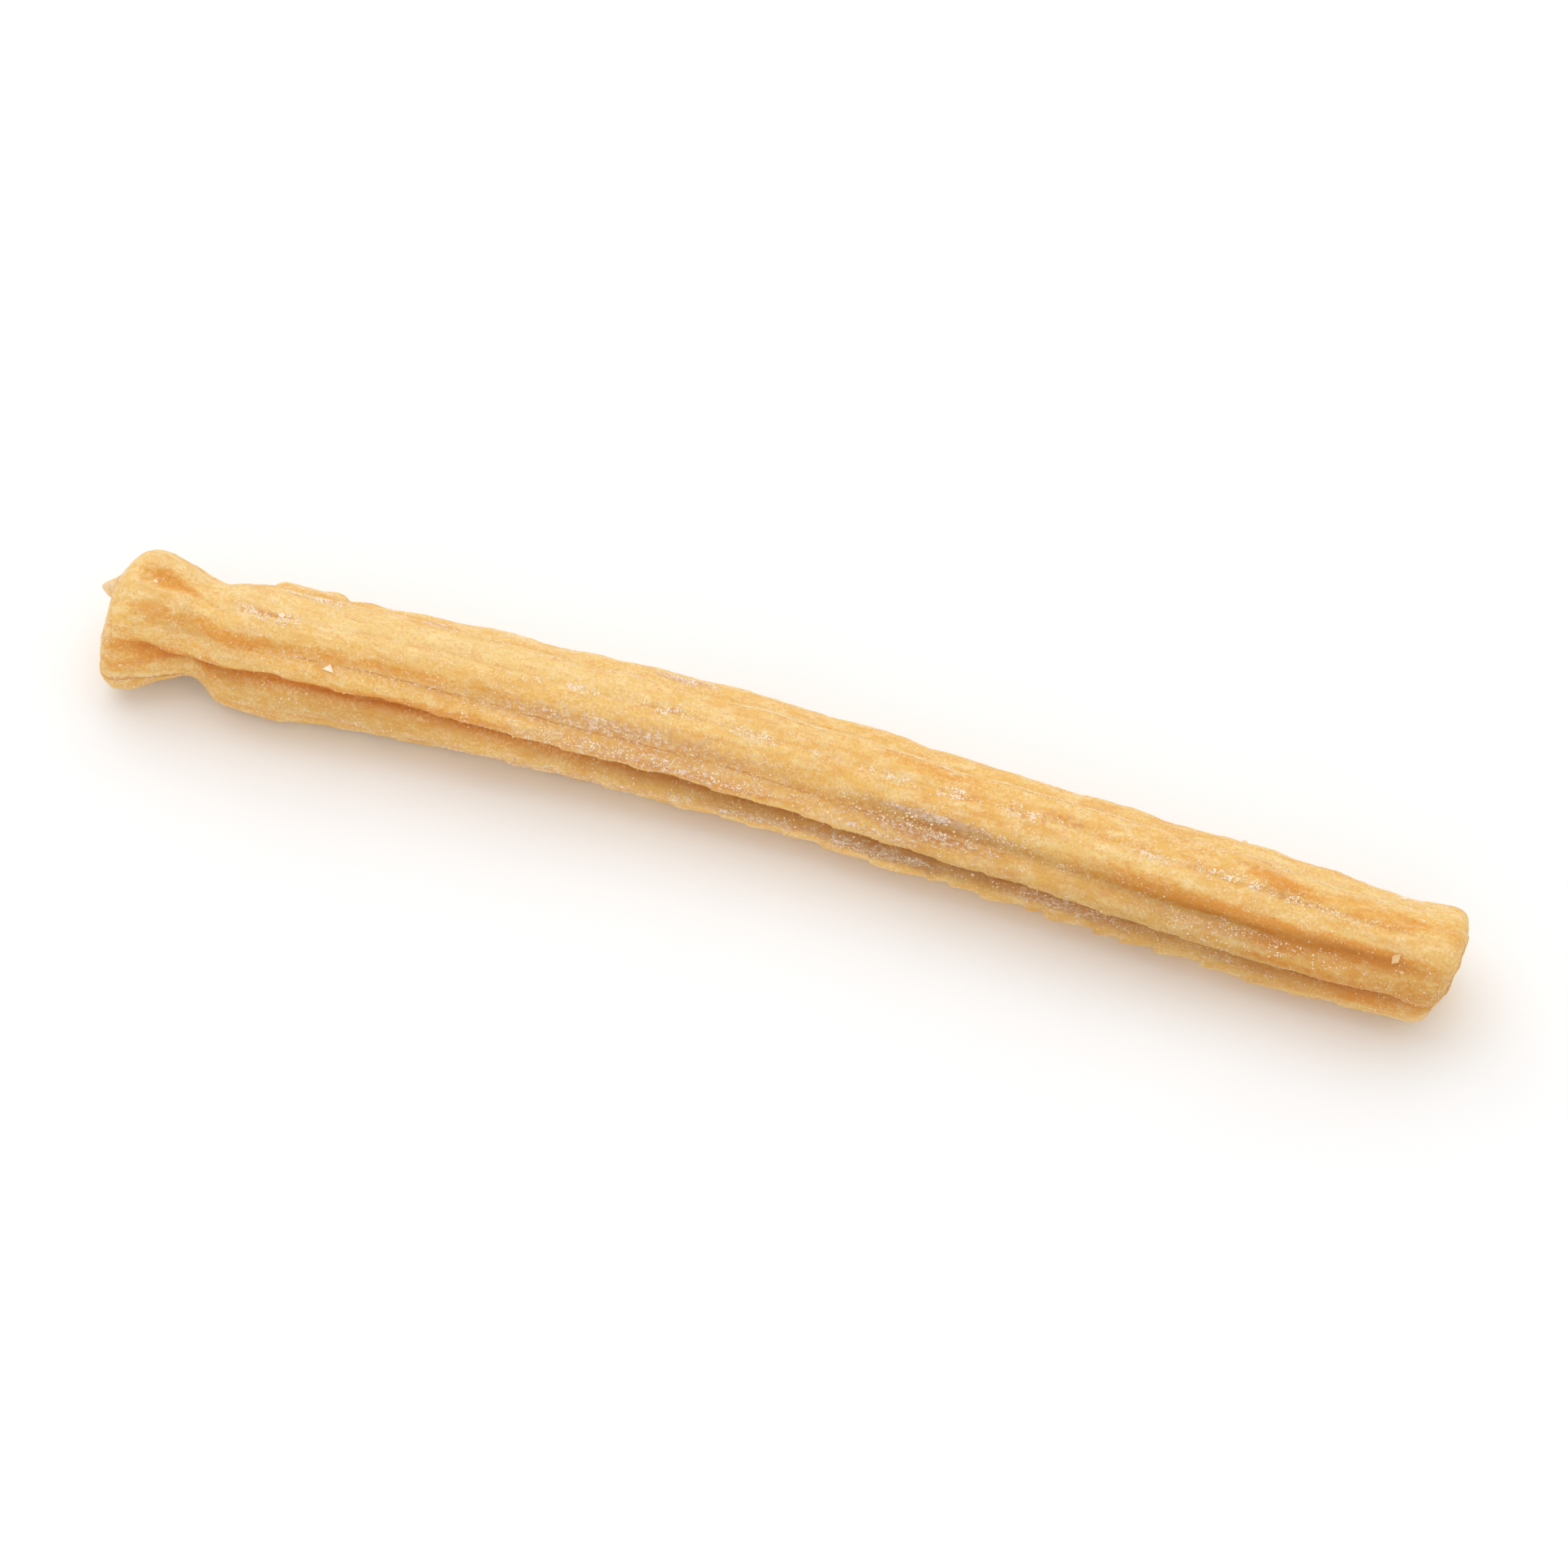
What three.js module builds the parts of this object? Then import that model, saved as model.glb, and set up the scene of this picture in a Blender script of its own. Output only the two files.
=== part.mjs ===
// A plain stick churro: soft dough pressed through a star-shaped nozzle, cut to length and fried.
// The bar keeps the nozzle's rounded lobes and the creases between them. Its left end was pulled off
// the dough, so it has a waist and a flared lip with a torn nub. Its right end was cut, and is rounded.
//
// Units are millimetres. +X runs along the bar, -Y is its front, +Z is up and it lies on z = 0.
// A bearing is an angle round the bar in degrees: 0 is straight up, 90 faces the front, 180 is down.

import * as THREE from 'three';

const { degToRad, euclideanModulo, lerp, smoothstep } = THREE.MathUtils;

// Driving dimensions.
const CREST_RADIUS = 12.0;
const WAIST_RADIUS = 9.2;
const LIP_RADIUS = 12.7;
const SPINE_HEIGHT = 10.9;
const LIP_END = -122.7;
const CUT_END = 125.8;
const LIP_ROUNDING = 3.8;
const CUT_ROUNDING = 3.8;
const LIP_DISHING = 1.4;
const CUT_DOMING = 1.0;

// The ends aren't square to the bar. A lean is how far an end runs on for each millimetre away from the
// spine, and it is greatest at its own bearing. It grows from nothing over a reach of the bar.
const LIP_LEAN = { slope: 0.04, bearing: -56, reach: 12 };
const CUT_LEAN = { slope: 0.34, bearing: 6, reach: 16 };

// Creases fade out on the smooth lip, and leave only a trace on the cut end.
const LIP_FADE = { start: LIP_END + 2, end: LIP_END + 13 };
const CUT_FADE = { start: CUT_END - 13, end: CUT_END, loss: 0.75 };

// Torn nubs stand out of the lip's end face. Their places and half sizes are shares of the lip's radius.
const NUBS = [
  { reach: 5.6, across: -0.08, up: 0.27, halfWidth: 0.17, halfHeight: 0.25 },
  { reach: 4.9, across: -0.02, up: 0.02, halfWidth: 0.14, halfHeight: 0.17 },
];
const NUB_RISE = 3;

// Mesh density: points across a lobe, how far they crowd into the creases, and the rings along the bar.
const POINTS_PER_LOBE = 7;
const CROWDING = 0.4;
const LIP_STEP = 1.9;
const BAR_STEP = 5.4;
const CUT_STEP = 2.5;
const ROUNDING_RINGS = 3;

// Pairs of [x, value]: how far the spine bows to the back, how far it lifts, and the crest radius.
const BOW = [
  [-124, -3.0], [-113, -2.1], [-107.5, -1.6], [-101, -2.4], [-90, -1.9], [-72, -0.4], [-14, 2.3],
  [14, 1.7], [60, -0.2], [104, -1.8], [126, -1.9],
];
const LIFT = [[-122, 1.5], [-108, 0.8], [-92, 0]];
const GIRTH = [
  [-121, LIP_RADIUS], [-117, 12.2], [-112, 11.0], [-107.5, WAIST_RADIUS], [-104, 10.3], [-101, 11.7],
  [-96, 12.1], [-79, 11.9], [-60, CREST_RADIUS], [60, CREST_RADIUS], [86, 12.25],
  [104, 11.8], [116, 11.2], [124, 11.3],
];

// The creases between the lobes, going round by bearing. Each wanders along the bar, as [x, bearing]
// pairs. Its two flanks fall away over their own widths in degrees, and a soft crease has a round foot.
const CREASES = [
  { path: [[-118, -48], [-86, -44], [-64, -29], [-22, -21], [40, -23], [98, -22]],
    depth: 0.6, backFlank: 7, frontFlank: 6, softness: 1.0 },
  { path: [[-118, -5], [-112, -4], [-103, 8], [-94, 2], [-58, 4], [-34, 10], [30, 10], [62, 7], [84, 12],
    [106, 11]],
    depth: 0.65, backFlank: 9, frontFlank: 7, softness: 1.0 },
  { path: [[-116, 39], [-109, 47], [-101, 42], [-94, 38], [-84, 36], [-56, 41], [-27, 46.5], [2, 49],
    [20, 52], [34, 53], [46, 48], [61, 46.5], [72, 49], [84, 49], [98, 51], [112, 46.5], [124, 46]],
    depth: 1.5, backFlank: 15, frontFlank: 10, softness: 1.6 },
  { path: [[-118, 65], [-108, 84], [-101, 69], [-93, 64], [-79, 66], [-57, 70], [-28, 75], [0, 77.5],
    [18, 81], [61, 83], [90, 86], [103, 85.5], [115, 83]],
    depth: 3.2, backFlank: 5.5, frontFlank: 14, softness: 1.3 },
  { path: [[-119, 106], [-108, 128], [-98, 112], [-86, 112], [-24, 129], [34, 134], [100, 137]],
    depth: 2.0, backFlank: 9, frontFlank: 9, softness: 1.2 },
  { path: [[-86, 170], [-24, 179], [34, 182], [100, 185]],
    depth: 2.1, backFlank: 11, frontFlank: 10, softness: 1.3 },
  { path: [[-86, 212], [-24, 221], [34, 224], [100, 227]],
    depth: 2.2, backFlank: 9, frontFlank: 11, softness: 1.2 },
  { path: [[-86, 250], [-24, 259], [34, 263], [100, 266]],
    depth: 2.0, backFlank: 10, frontFlank: 9, softness: 1.3 },
  { path: [[-118, 280], [-86, 284], [-24, 296], [34, 299], [100, 300]],
    depth: 1.9, backFlank: 9, frontFlank: 10, softness: 1.2 },
];

// Raised and sunken patches of crust. The edge is the share of a patch that its slope takes.
const PATCHES = [
  { name: 'torn flake', x: -89.8, halfLength: 7.6, bearing: -58, halfWidth: 20, lift: 0.7, edge: 0.25 },
  { name: 'notch by the flake', x: -82.6, halfLength: 3.5, bearing: -58, halfWidth: 18, lift: -0.8, edge: 1 },
  { name: 'dent at the waist', x: -101, halfLength: 7.5, bearing: -60, halfWidth: 55, lift: -1.4, edge: 0.8 },
  { name: 'worn top of the lip', x: -125, halfLength: 9, bearing: -56, halfWidth: 75, lift: -2.4, edge: 1 },
  { name: 'flap under the lip', x: -120, halfLength: 8, bearing: 124, halfWidth: 26, lift: 1.6, edge: 0.6 },
  { name: 'hollow in the lip', x: -114, halfLength: 7.5, bearing: -2, halfWidth: 16, lift: -1.4, edge: 1 },
  { name: 'pit in the lip', x: -115, halfLength: 8, bearing: 67, halfWidth: 11, lift: -1.1, edge: 1 },
  { name: 'swollen front lobe', x: -99, halfLength: 9, bearing: 50, halfWidth: 12, lift: 0.6, edge: 1 },
  { name: 'trough in the front', x: 84, halfLength: 42, bearing: 51, halfWidth: 22, lift: -1.6, edge: 1 },
  { name: 'flat under the front', x: -54, halfLength: 20, bearing: 132, halfWidth: 42, lift: -0.9, edge: 1 },
  { name: 'full front of the waist', x: -107, halfLength: 10, bearing: 128, halfWidth: 22, lift: 1.5, edge: 1 },
  { name: 'hollow on the top', x: 97, halfLength: 11, bearing: 4, halfWidth: 13, lift: -0.5, edge: 1 },
  { name: 'flared top of the cut', x: 122, halfLength: 7, bearing: -40, halfWidth: 45, lift: 0.4, edge: 0.9 },
];

// Slow lumps of hand-pressed dough. Whole turns go round the bar, so the last lobe meets the first.
const LUMPS = [
  { height: 0.16, length: 6.1, turns: 2, phase: 0 },
  { height: 0.13, length: 3.7, turns: -3, phase: 1.3 },
  { height: 0.1, length: 2.3, turns: 5, phase: 4.1 },
];

// Reads a smooth curve through [x, value] pairs. It is level beyond its ends.
function through(pairs, x) {
  const last = pairs.length - 1;
  if (x <= pairs[0][0]) return pairs[0][1];
  if (x >= pairs[last][0]) return pairs[last][1];
  const next = pairs.findIndex(([at]) => at > x);
  const slopeAt = (k) => {
    if (k === 0 || k === last) return 0;
    return (pairs[k + 1][1] - pairs[k - 1][1]) / (pairs[k + 1][0] - pairs[k - 1][0]);
  };
  const [x0, value0] = pairs[next - 1];
  const [x1, value1] = pairs[next];
  const span = x1 - x0;
  const t = (x - x0) / span;
  const blend = t * t * (3 - 2 * t);
  const leaving = t * (1 - t) * (1 - t) * span * slopeAt(next - 1);
  const arriving = t * t * (t - 1) * span * slopeAt(next);
  return lerp(value0, value1, blend) + leaving + arriving;
}

// The signed way from one bearing to another, from -180 to 180 degrees.
function turn(from, to) {
  return euclideanModulo(to - from + 180, 360) - 180;
}

function creaseFade(x) {
  const offLip = smoothstep(x, LIP_FADE.start, LIP_FADE.end);
  const atCut = smoothstep(x, CUT_FADE.start, CUT_FADE.end);
  return offLip * (1 - CUT_FADE.loss * atCut);
}

function creaseDepth(crease, x, bearing) {
  const away = turn(through(crease.path, x), bearing);
  const flank = away < 0 ? crease.backFlank : crease.frontFlank;
  return crease.depth * Math.exp(-((Math.abs(away) / flank) ** crease.softness));
}

function patchLift(patch, x, bearing) {
  const reach = Math.hypot((x - patch.x) / patch.halfLength, turn(patch.bearing, bearing) / patch.halfWidth);
  return patch.lift * (1 - smoothstep(reach, 1 - patch.edge, 1));
}

function lumpHeight(lump, x, bearing) {
  return lump.height * Math.sin(x / lump.length + lump.turns * degToRad(bearing) + lump.phase);
}

function total(things, heightOf, x, bearing) {
  return things.reduce((sum, thing) => sum + heightOf(thing, x, bearing), 0);
}

function radiusAt(x, bearing) {
  const creased = through(GIRTH, x) - creaseFade(x) * total(CREASES, creaseDepth, x, bearing);
  return creased + total(PATCHES, patchLift, x, bearing) + total(LUMPS, lumpHeight, x, bearing);
}

// How far a lean carries a point along the bar.
function leanAt(lean, radius, bearing) {
  return lean.slope * radius * Math.cos(degToRad(bearing - lean.bearing));
}

function endLean(x, radius, bearing) {
  const atLip = 1 - smoothstep(x, LIP_END, LIP_END + LIP_LEAN.reach);
  const atCut = smoothstep(x, CUT_END - CUT_LEAN.reach, CUT_END);
  return atLip * leanAt(LIP_LEAN, radius, bearing) + atCut * leanAt(CUT_LEAN, radius, bearing);
}

function nubReach(x, share, bearing) {
  const atFace = 1 - smoothstep(x, LIP_END, LIP_END + NUB_RISE);
  const reachOf = (nub) => {
    const across = (share * Math.sin(degToRad(bearing)) - nub.across) / nub.halfWidth;
    const up = (share * Math.cos(degToRad(bearing)) - nub.up) / nub.halfHeight;
    return nub.reach * Math.exp(-(across ** 2) - up ** 2);
  };
  return atFace * Math.max(...NUBS.map(reachOf));
}

// Rings of a plain bar from end to end, as a profile to turn: x is the share of the radius, y the station.
function barProfile() {
  const profile = [];
  const ring = (share, x) => profile.push(new THREE.Vector2(share, x));
  const roundingAngle = (k) => (k / ROUNDING_RINGS) * Math.PI / 2;
  for (const share of [0, 0.18, 0.34, 0.5, 0.64]) ring(share, LIP_END + LIP_DISHING * (1 - share));
  for (let k = 0; k <= ROUNDING_RINGS; k += 1) {
    const inset = LIP_ROUNDING * (1 - Math.sin(roundingAngle(k)));
    ring(1 - inset / LIP_RADIUS, LIP_END + LIP_ROUNDING * (1 - Math.cos(roundingAngle(k))));
  }
  const stretches = [
    { from: LIP_END + LIP_ROUNDING, to: -86, step: LIP_STEP },
    { from: -86, to: CUT_FADE.start, step: BAR_STEP },
    { from: CUT_FADE.start, to: CUT_END - CUT_ROUNDING, step: CUT_STEP },
  ];
  for (const { from, to, step } of stretches) {
    const count = Math.round((to - from) / step);
    for (let k = 1; k <= count; k += 1) ring(1, lerp(from, to, k / count));
  }
  for (let k = 1; k <= ROUNDING_RINGS; k += 1) {
    const inset = CUT_ROUNDING * (1 - Math.cos(roundingAngle(k)));
    ring(1 - inset / CREST_RADIUS, CUT_END - CUT_ROUNDING * (1 - Math.sin(roundingAngle(k))));
  }
  for (const share of [0.5, 0.24, 0]) ring(share, CUT_END + CUT_DOMING * (1 - share * share));
  return profile;
}

// The bearing of a point that lies a share of the way across a lobe. A share of 0 is in its crease.
function lobeBearing(lobe, share, x) {
  const start = through(CREASES[lobe].path, x);
  const next = (lobe + 1) % CREASES.length;
  const end = through(CREASES[next].path, x) + (next === 0 ? 360 : 0);
  return lerp(start, end, share);
}

// Points crowd towards both creases of a lobe, where its surface turns most.
function shareAcrossLobe(point) {
  const even = point / POINTS_PER_LOBE;
  const crowded = 0.5 - 0.5 * Math.cos(Math.PI * even);
  return lerp(even, crowded, CROWDING);
}

// Turns a plain bar, and presses each of its points out to the dough's own surface. What would reach
// below the table is flattened on it.
function doughGeometry() {
  const profile = barProfile();
  const columns = CREASES.length * POINTS_PER_LOBE;
  const geometry = new THREE.LatheGeometry(profile, columns);
  const position = geometry.attributes.position;
  for (let index = 0; index < position.count; index += 1) {
    const { x: share, y: station } = profile[index % profile.length];
    const column = Math.floor(index / profile.length) % columns;
    const lobe = Math.floor(column / POINTS_PER_LOBE);
    const bearing = lobeBearing(lobe, shareAcrossLobe(column % POINTS_PER_LOBE), station);
    const radius = share * radiusAt(station, bearing);
    const x = station + endLean(station, radius, bearing) - nubReach(station, share, bearing);
    const y = through(BOW, station) - radius * Math.sin(degToRad(bearing));
    const z = SPINE_HEIGHT + through(LIFT, station) + radius * Math.cos(degToRad(bearing));
    position.setXYZ(index, x, y, Math.max(z, 0));
  }
  geometry.computeBoundingBox();
  const middle = geometry.boundingBox.getCenter(new THREE.Vector3());
  geometry.translate(-middle.x, -middle.y, 0);
  geometry.computeVertexNormals();
  return geometry;
}

const friedDough = new THREE.MeshStandardMaterial({ color: 0xe4b97c, roughness: 0.62, metalness: 0 });

const churro = new THREE.Mesh(doughGeometry(), friedDough);
churro.name = 'churro';

const part = new THREE.Group();
part.add(churro);

export default part;
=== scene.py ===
# %% [markdown]
# # A stick churro
# A churro is a bar of soft dough, pressed through a star-shaped nozzle, cut to length and fried until
# its skin is a thin golden crust. The nozzle leaves rounded lobes with creases between them. This one
# was pulled off the dough at its left end, which left a waist, a wide lip and a torn nub, and was cut
# at its right end. A little fine sugar has settled on it like frost.
#
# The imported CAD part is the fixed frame: it says where the churro lies and how large it is. The looks
# are built around it, so the first step is to load it and to note its box.

# %% Load the frame
import math

import bpy
import numpy as np
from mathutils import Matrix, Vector, noise


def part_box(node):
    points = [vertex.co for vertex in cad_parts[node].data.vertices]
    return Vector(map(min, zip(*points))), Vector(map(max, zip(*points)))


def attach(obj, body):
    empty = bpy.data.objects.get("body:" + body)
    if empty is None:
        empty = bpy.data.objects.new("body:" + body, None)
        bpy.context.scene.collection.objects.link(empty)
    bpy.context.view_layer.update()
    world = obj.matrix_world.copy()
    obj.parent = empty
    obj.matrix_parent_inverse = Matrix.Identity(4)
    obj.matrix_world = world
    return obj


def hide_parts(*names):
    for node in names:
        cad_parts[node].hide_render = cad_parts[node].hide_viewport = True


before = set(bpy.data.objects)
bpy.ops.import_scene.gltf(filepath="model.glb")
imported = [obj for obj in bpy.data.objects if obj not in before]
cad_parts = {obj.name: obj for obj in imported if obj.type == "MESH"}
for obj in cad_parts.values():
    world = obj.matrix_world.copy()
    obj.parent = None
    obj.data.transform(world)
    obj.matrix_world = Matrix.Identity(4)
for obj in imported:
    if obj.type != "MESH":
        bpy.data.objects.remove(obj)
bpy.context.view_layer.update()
frame_low, frame_high = (np.array(corner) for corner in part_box("churro"))
MM = 0.001
print("the frame's box in mm:", np.round((frame_high - frame_low) / MM, 1))

# %% [markdown]
# ## The bar's own sizes
# The crust is a finer version of the solid that it stands for, so it is made from the same few sizes,
# in millimetres. X runs along the bar, the front faces -Y, and the bar lies on z = 0. A bearing is an
# angle round the bar in degrees: 0 is straight up, 90 faces the front and 180 is down.
#
# A list of [x, value] pairs gives each size that changes along the bar. A smooth curve through a few
# pairs bends like dough does, where straight pieces between them would show as kinks.

# %% Sizes along the bar
CREST_RADIUS = 12.0
WAIST_RADIUS = 9.2
LIP_RADIUS = 12.7
SPINE_HEIGHT = 10.9
LIP_END = -122.7
CUT_END = 125.8
LIP_ROUNDING = 3.8
CUT_ROUNDING = 3.8
LIP_DISHING = 1.4
CUT_DOMING = 1.0

BOW = [[-124, -3.0], [-113, -2.1], [-107.5, -1.6], [-101, -2.4], [-90, -1.9], [-72, -0.4],
       [-14, 2.3], [14, 1.7], [60, -0.2], [104, -1.8], [126, -1.9]]
LIFT = [[-122, 1.5], [-108, 0.8], [-92, 0]]
GIRTH = [[-121, LIP_RADIUS], [-117, 12.2], [-112, 11.0], [-107.5, WAIST_RADIUS], [-104, 10.3],
         [-101, 11.7], [-96, 12.1], [-79, 11.9], [-60, CREST_RADIUS], [60, CREST_RADIUS],
         [86, 12.25], [104, 11.8], [116, 11.2], [124, 11.3]]


def through(pairs, x):
    """A smooth curve through [x, value] pairs, level beyond its ends."""
    at, value = np.array(pairs, float).T
    slope = np.zeros(len(at))
    slope[1:-1] = (value[2:] - value[:-2]) / (at[2:] - at[:-2])
    x = np.clip(x, at[0], at[-1])
    k = np.clip(np.searchsorted(at, x, side="right") - 1, 0, len(at) - 2)
    span = at[k + 1] - at[k]
    t = (x - at[k]) / span
    ease = t * t * (3 - 2 * t)
    leaving = t * (1 - t) ** 2 * span * slope[k]
    arriving = t * t * (t - 1) * span * slope[k + 1]
    return value[k] + (value[k + 1] - value[k]) * ease + leaving + arriving


def step(x, start, end):
    """0 before start, 1 after end, and smooth between them."""
    t = np.clip((x - start) / (end - start), 0, 1)
    return t * t * (3 - 2 * t)


print("crest radius at the middle:", through(GIRTH, np.array([0.0])), "mm")

# %% [markdown]
# ## Creases between the lobes
# The points of the nozzle's star leave the creases. Each one wanders a little as the dough turns and
# stretches, so each has a path of its own along the bar, and two flanks that fall away over different
# widths: a soft crease has a round foot, and a sharp one is nearly a slit.

# %% Creases
def table(columns, *rows):
    """Rows of values as dictionaries, with a name for each column."""
    return [dict(zip(columns.split(), row)) for row in rows]


CREASES = table(
    "depth back front softness path",
    (0.6, 7, 6, 1.0, [[-118, -48], [-86, -44], [-64, -29], [-22, -21], [40, -23], [98, -22]]),
    (0.65, 9, 7, 1.0, [[-118, -5], [-112, -4], [-103, 8], [-94, 2], [-58, 4], [-34, 10], [30, 10],
                       [62, 7], [84, 12], [106, 11]]),
    (1.5, 15, 10, 1.6, [[-116, 39], [-109, 47], [-101, 42], [-94, 38], [-84, 36], [-56, 41],
                        [-27, 46.5], [2, 49], [20, 52], [34, 53], [46, 48], [61, 46.5], [72, 49],
                        [84, 49], [98, 51], [112, 46.5], [124, 46]]),
    (3.2, 5.5, 14, 1.3, [[-118, 65], [-108, 84], [-101, 69], [-93, 64], [-79, 66], [-57, 70],
                         [-36, 76], [-24, 78], [0, 80], [18, 82], [61, 83], [90, 86], [103, 85.5],
                         [115, 83]]),
    (2.0, 9, 9, 1.2, [[-119, 106], [-108, 128], [-98, 112], [-86, 112], [-24, 129], [34, 134],
                      [100, 137]]),
    (2.1, 11, 10, 1.3, [[-86, 170], [-24, 179], [34, 182], [100, 185]]),
    (2.2, 9, 11, 1.2, [[-86, 212], [-24, 221], [34, 224], [100, 227]]),
    (2.0, 10, 9, 1.3, [[-86, 250], [-24, 259], [34, 263], [100, 266]]),
    (1.9, 9, 10, 1.2, [[-118, 280], [-86, 284], [-24, 296], [34, 299], [100, 300]]),
)
DEEPEST_CREASE = max(crease["depth"] for crease in CREASES)
LIP_FADE = dict(start=LIP_END + 2, end=LIP_END + 13)
CUT_FADE = dict(start=CUT_END - 13, end=CUT_END)
CUT_TRACE = 0.25


def turn(start, end):
    """The signed way from one bearing to another, from -180 to 180 degrees."""
    return (end - start + 180) % 360 - 180


def crease_fade(x):
    """Creases fade out on the smooth lip, and leave only a trace on the cut end."""
    return step(x, **LIP_FADE) * (1 - (1 - CUT_TRACE) * step(x, **CUT_FADE))


def crease_depth(crease, x, bearing):
    """How deep one crease is at a place. It is deepest on its path and falls away over its flanks."""
    away = turn(through(crease["path"], x), bearing)
    flank = np.where(away < 0, crease["back"], crease["front"])
    return crease["depth"] * np.exp(-((np.abs(away) / flank) ** crease["softness"]))


print(len(CREASES), "creases, the deepest", DEEPEST_CREASE, "mm")

# %% [markdown]
# ## Raised and sunken places
# A torn flake, the dents of the waist and the pits of the lip are patches: each has a middle, a half
# length along the bar in millimetres, a half width round it in degrees, and a height. The solid has
# the same ones. Slow lumps, which are waves round and along the bar, keep the rest from being even.

# %% Patches
FORMS = table(
    "name x length bearing width lift edge",
    ("torn flake", -89.8, 7.6, -58, 20, 0.7, 0.25),
    ("notch by the flake", -82.6, 3.5, -58, 18, -0.8, 1),
    ("dent at the waist", -101, 7.5, -60, 55, -1.4, 0.8),
    ("worn top of the lip", -125, 9, -56, 75, -2.4, 1),
    ("flap under the lip", -120, 8, 124, 26, 1.6, 0.6),
    ("hollow in the lip", -114, 7.5, -2, 16, -1.4, 1),
    ("pit in the lip", -115, 8, 67, 11, -1.1, 1),
    ("swollen front lobe", -99, 9, 50, 12, 0.6, 1),
    ("trough in the front", 84, 42, 51, 22, -1.6, 1),
    ("flat under the front", -54, 20, 132, 42, -0.9, 1),
    ("full front of the waist", -107, 10, 128, 22, 1.5, 1),
    ("hollow on the top", 97, 11, 4, 13, -0.5, 1),
    ("flared top of the cut", 122, 7, -40, 45, 0.4, 0.9),
)
LUMPS = table("height length turns phase", (0.16, 6.1, 2, 0), (0.13, 3.7, -3, 1.3), (0.1, 2.3, 5, 4.1))


def patch_share(patch, x, bearing):
    """1 in the middle of a patch, 0 outside it, and a slope between them."""
    reach = np.hypot((x - patch["x"]) / patch["length"], turn(patch["bearing"], bearing) / patch["width"])
    return 1 - step(reach, 1 - patch["edge"], 1)


def radius_at(x, bearing):
    """The smooth dough's radius, with its creases, forms and slow lumps."""
    radius = through(GIRTH, x)
    radius = radius - crease_fade(x) * sum(crease_depth(c, x, bearing) for c in CREASES)
    radius = radius + sum(form["lift"] * patch_share(form, x, bearing) for form in FORMS)
    angle = np.radians(bearing)
    return radius + sum(
        lump["height"] * np.sin(x / lump["length"] + lump["turns"] * angle + lump["phase"])
        for lump in LUMPS
    )


print(len(FORMS), "forms and", len(LUMPS), "slow lumps")

# %% [markdown]
# ## Rings and columns
# A lathe shape is a good start for a bar: rings follow one another from end to end, and each ring has
# the same number of points. Here the columns follow the creases, so that every lobe has as many points
# across it as any other, and no crease falls between two of them. Points about half a millimetre apart
# are enough for the crust's grains, and keep the mesh light.

# %% Rings from the torn face to the cut face
POINTS_PER_LOBE = 19
RING_STEP = 0.47
COLUMNS = len(CREASES) * POINTS_PER_LOBE
LIP_FACE_RINGS = 17
CUT_FACE_RINGS = 14
ROUNDING_RINGS = 11

lip_rim = 1 - LIP_ROUNDING / LIP_RADIUS
cut_rim = 1 - CUT_ROUNDING / CREST_RADIUS
face_share = np.linspace(0, lip_rim, LIP_FACE_RINGS, endpoint=False)
rounding = np.linspace(0, np.pi / 2, ROUNDING_RINGS)
bar_x = np.linspace(LIP_END + LIP_ROUNDING, CUT_END - CUT_ROUNDING,
                    round((CUT_END - LIP_END) / RING_STEP) - 2 * ROUNDING_RINGS)[1:-1]
dome_share = np.linspace(cut_rim, 0, CUT_FACE_RINGS + 1)[1:]
ring_share = np.concatenate([
    face_share,
    1 - LIP_ROUNDING / LIP_RADIUS * (1 - np.sin(rounding)),
    np.ones(len(bar_x)),
    1 - CUT_ROUNDING / CREST_RADIUS * (1 - np.cos(rounding)),
    dome_share,
])
ring_x = np.concatenate([
    LIP_END + LIP_DISHING * (1 - face_share / lip_rim),
    LIP_END + LIP_ROUNDING * (1 - np.cos(rounding)),
    bar_x,
    CUT_END - CUT_ROUNDING * (1 - np.sin(rounding)),
    CUT_END + CUT_DOMING * (1 - dome_share**2),
])
print(len(ring_x), "rings of", COLUMNS, "points")

# %% [markdown]
# The columns take their bearings from the creases on both sides of them, and crowd towards a crease,
# where the surface turns most.

# %% Columns that follow the creases
CROWDING = 0.4

even = np.arange(POINTS_PER_LOBE) / POINTS_PER_LOBE
across = even + CROWDING * (0.5 - 0.5 * np.cos(np.pi * even) - even)
crease_bearing = np.array([through(crease["path"], ring_x) for crease in CREASES])
next_bearing = np.roll(crease_bearing, -1, axis=0)
next_bearing[-1] += 360
lobe_start = crease_bearing.T[:, :, None]
lobe_end = next_bearing.T[:, :, None]
bearing = (lobe_start + (lobe_end - lobe_start) * across).reshape(len(ring_x), COLUMNS)
print("bearings run from", bearing.min().round(), "to", bearing.max().round(), "degrees")

# %% [markdown]
# ## From rings to a lying bar
# Each ring point is pushed out to the dough's radius and set round the spine. The ends lean, because
# neither was cut square. Torn nubs stand out of the lip's face, where the dough let go last. What
# would reach below the table is flattened on it: soft dough has a flat spot where it rests.

# %% Place the points
LIP_LEAN = dict(slope=0.04, bearing=-56, reach=12)
CUT_LEAN = dict(slope=0.34, bearing=6, reach=16)
NUBS = table("reach across up half_width half_height",
             (5.6, -0.08, 0.27, 0.17, 0.25), (4.9, -0.02, 0.02, 0.14, 0.17))
NUB_RISE = 3


def lean_at(lean, radius, bearing):
    """How far an end's points are pushed along the bar, so that the end leans."""
    return lean["slope"] * radius * np.cos(np.radians(bearing - lean["bearing"]))


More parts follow.
